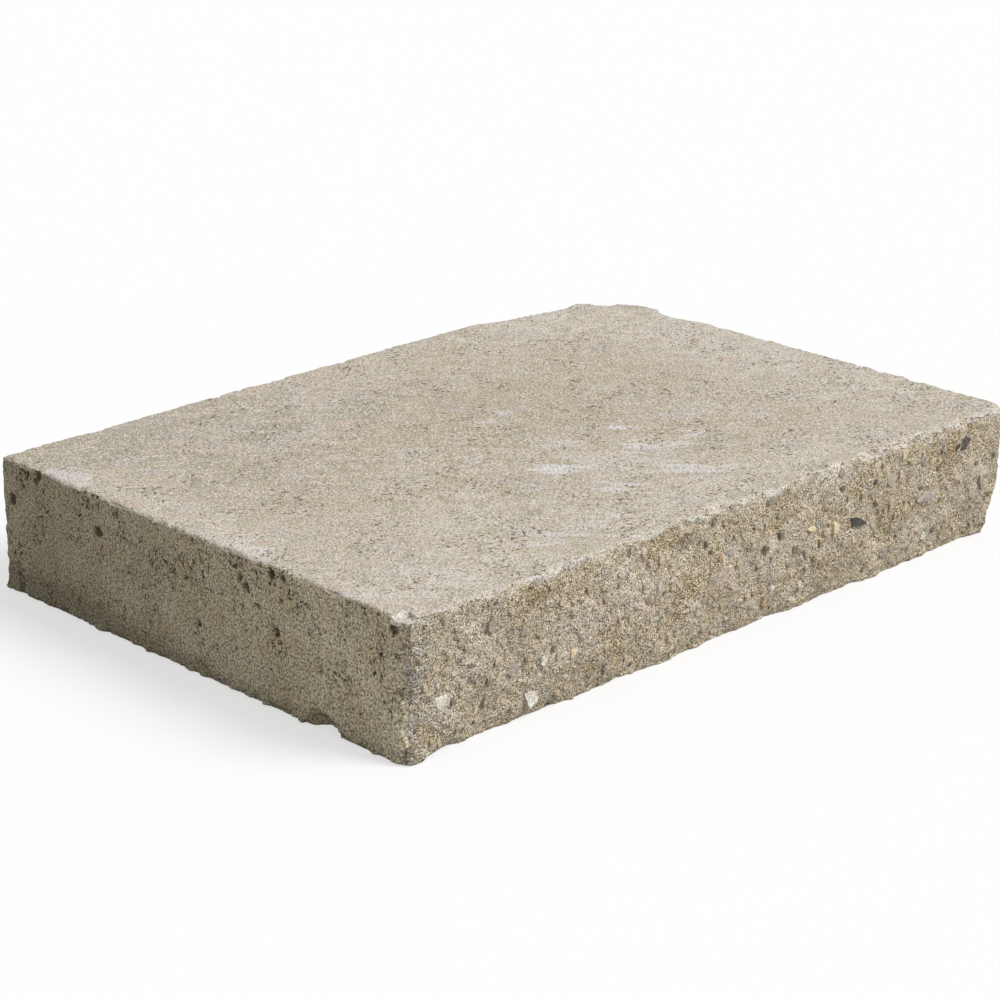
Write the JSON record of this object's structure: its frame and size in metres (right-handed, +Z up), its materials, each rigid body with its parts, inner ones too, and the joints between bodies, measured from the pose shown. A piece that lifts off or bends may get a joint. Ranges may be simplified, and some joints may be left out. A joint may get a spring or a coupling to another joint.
{
  "type": "concrete wall cap",
  "caption": "Flat rectangular concrete cap with one rough split face, laid end to end to finish the top of a garden or retaining wall.",
  "frame": {"origin": "on the bed face, under the middle of the cap's box", "axes": "+X along the wall, -Y out of the split face, +Z up from the bed face"},
  "size_m": [0.3048, 0.218, 0.0508],
  "materials": {
    "concrete": "matte"
  },
  "bodies": {
    "root": {"wall_cap": "concrete"}
  },
  "joints": []
}
